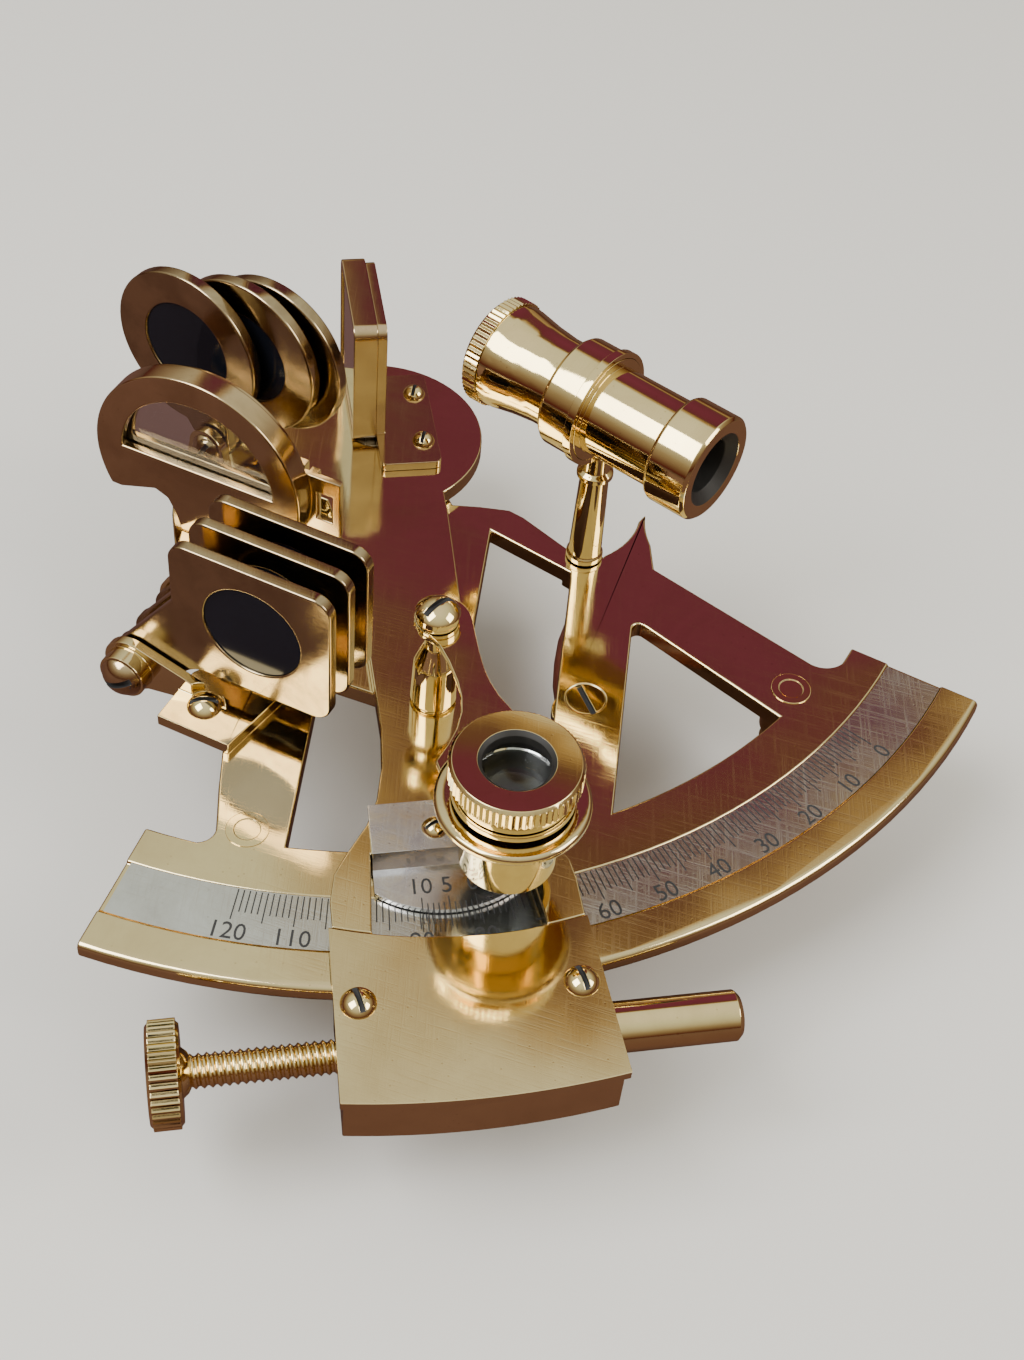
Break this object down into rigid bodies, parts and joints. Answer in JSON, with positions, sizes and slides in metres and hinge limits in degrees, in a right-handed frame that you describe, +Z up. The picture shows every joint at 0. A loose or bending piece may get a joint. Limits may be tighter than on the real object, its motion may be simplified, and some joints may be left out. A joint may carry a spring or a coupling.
{
  "type": "sextant",
  "caption": "Brass vernier sextant: open frame with a toothless graduated arc, swinging index arm with mirror and tangent screw, horizon mirror, shades, magnifier and telescope.",
  "frame": {"origin": "on the table plane, at the foot under the pivot of the index arm", "axes": "+Z up from the table, along the pivot; -Y from the pivot to the middle of the limb, towards the user; +X to the right, the telescope's side"},
  "size_m": [0.1412, 0.1471, 0.0674],
  "materials": {
    "brass": "polished",
    "dark_brass": "satin",
    "silvered": "brushed",
    "steel": "satin",
    "wood": "varnished",
    "mirror": "polished",
    "dark_glass": "polished",
    "lens_glass": "polished"
  },
  "bodies": {
    "frame_assembly": {"frame": "brass", "scale_strip": "silvered", "left_leg": "brass", "right_leg": "brass", "head_leg": "brass", "pivot_bush": "dark_brass", "handle_grip": "wood", "handle_brackets": "dark_brass", "handle_screws": "brass", "horizon_mirror_frame": "brass", "horizon_mirror_glass": "mirror", "horizon_mirror_back": "dark_brass", "bracket_screws": "brass", "horizon_shade_bracket": "brass", "horizon_shade_pin": "brass", "horizon_shade_washers": "dark_brass", "index_shade_bracket": "brass", "index_shade_pin": "brass", "index_shade_washers": "dark_brass"},
    "index_arm_assembly": {"index_arm": "brass", "pivot_shaft": "steel", "pivot_nut": "brass", "index_mirror_frame": "brass", "index_mirror_glass": "mirror", "index_mirror_bracket": "dark_brass", "arm_screws": "brass", "vernier_plate": "silvered", "cover_plate": "brass", "cover_screws": "brass", "tangent_housing": "brass", "spring_barrel": "brass", "plunger_spring": "steel", "magnifier_pillar": "brass", "magnifier_screw": "brass"},
    "tangent_screw": {"tangent_screw": "brass"},
    "clamp": {"clamp_jaw": "dark_brass"},
    "clamp_thumbscrew": {"clamp_screw": "brass"},
    "plunger": {"plunger": "steel"},
    "magnifier_arm": {"magnifier_arm": "brass"},
    "magnifier_barrel": {"magnifier_tube": "brass", "magnifier_cap": "brass", "magnifier_lens": "lens_glass"},
    "telescope": {"telescope_stand": "brass", "telescope_tube": "brass", "objective_cell": "brass", "objective_lens": "lens_glass"},
    "eyepiece": {"eyepiece_tube": "brass", "eyepiece_lens": "lens_glass"},
    "horizon_shade_1": {"horizon_shade_1": "brass", "horizon_shade_glass_1": "dark_glass"},
    "index_shade_1": {"index_shade_1": "brass", "index_shade_glass_1": "dark_glass"},
    "horizon_shade_2": {"horizon_shade_2": "brass", "horizon_shade_glass_2": "dark_glass"},
    "index_shade_2": {"index_shade_2": "brass", "index_shade_glass_2": "dark_glass"},
    "horizon_shade_3": {"horizon_shade_3": "brass", "horizon_shade_glass_3": "dark_glass"},
    "index_shade_3": {"index_shade_3": "brass", "index_shade_glass_3": "dark_glass"}
  },
  "joints": [
    {"name": "arm_swing", "type": "hinge", "parent": "frame_assembly", "child": "index_arm_assembly", "pos_m": [0, 0, 0.027], "axis": [0, 0, 1], "range_deg": [-6.5, 29]},
    {"name": "clamp_travel", "type": "slide", "parent": "index_arm_assembly", "child": "clamp", "axis": [0.9772, -0.2122, 0], "range_m": [-0.00215, 0.00215]},
    {"name": "tangent_screw_turn", "type": "hinge", "parent": "clamp", "child": "tangent_screw", "pos_m": [-0.06379, -0.10526, 0.0237], "axis": [0.9772, -0.2122, 0], "range_deg": [-720, 720]},
    {"name": "plunger_travel", "type": "slide", "parent": "index_arm_assembly", "child": "plunger", "axis": [0.9772, -0.2122, 0], "range_m": [-0.00215, 0.00215], "deforming": ["plunger_spring"]},
    {"name": "clamp_screw_turn", "type": "hinge", "parent": "clamp", "child": "clamp_thumbscrew", "pos_m": [-0.02101, -0.09675, 0.021], "axis": [0, 0, 1], "range_deg": [-180, 90]},
    {"name": "magnifier_swing", "type": "hinge", "parent": "index_arm_assembly", "child": "magnifier_arm", "pos_m": [-0.01093, -0.05974, 0.046], "axis": [0, 0, 1], "range_deg": [-40, 45]},
    {"name": "magnifier_focus", "type": "slide", "parent": "magnifier_arm", "child": "magnifier_barrel", "axis": [0, 0, 1], "range_m": [-0.0003, 0.004]},
    {"name": "telescope_swivel", "type": "hinge", "parent": "frame_assembly", "child": "telescope", "pos_m": [0.0243, -0.0354, 0.027], "axis": [0, 0, 1], "range_deg": [-30, 40]},
    {"name": "eyepiece_draw", "type": "slide", "parent": "telescope", "child": "eyepiece", "axis": [0.497, -0.8678, 0], "range_m": [0, 0.006]},
    {"name": "horizon_shade_1_tilt", "type": "hinge", "parent": "frame_assembly", "child": "horizon_shade_1", "pos_m": [-0.05024, -0.0381, 0.0296], "axis": [-0.7314, -0.682, 0], "range_deg": [0, 90]},
    {"name": "horizon_shade_2_tilt", "type": "hinge", "parent": "frame_assembly", "child": "horizon_shade_2", "pos_m": [-0.05024, -0.0381, 0.0296], "axis": [-0.7314, -0.682, 0], "range_deg": [0, 90]},
    {"name": "horizon_shade_3_tilt", "type": "hinge", "parent": "frame_assembly", "child": "horizon_shade_3", "pos_m": [-0.05024, -0.0381, 0.0296], "axis": [-0.7314, -0.682, 0], "range_deg": [0, 90]},
    {"name": "index_shade_1_tilt", "type": "hinge", "parent": "frame_assembly", "child": "index_shade_1", "pos_m": [-0.0273, -0.00085, 0.0363], "axis": [0.809, 0.5878, 0], "range_deg": [-40, 25]},
    {"name": "index_shade_2_tilt", "type": "hinge", "parent": "frame_assembly", "child": "index_shade_2", "pos_m": [-0.0273, -0.00085, 0.0363], "axis": [0.809, 0.5878, 0], "range_deg": [-70, 5]},
    {"name": "index_shade_3_tilt", "type": "hinge", "parent": "frame_assembly", "child": "index_shade_3", "pos_m": [-0.0273, -0.00085, 0.0363], "axis": [0.809, 0.5878, 0], "range_deg": [-78, 0]}
  ],
  "couplings": [
    {"joint": "tangent_screw_turn", "follows": "clamp_travel", "rad_per_m": 5817.8},
    {"joint": "plunger_travel", "follows": "clamp_travel", "ratio": 1}
  ]
}
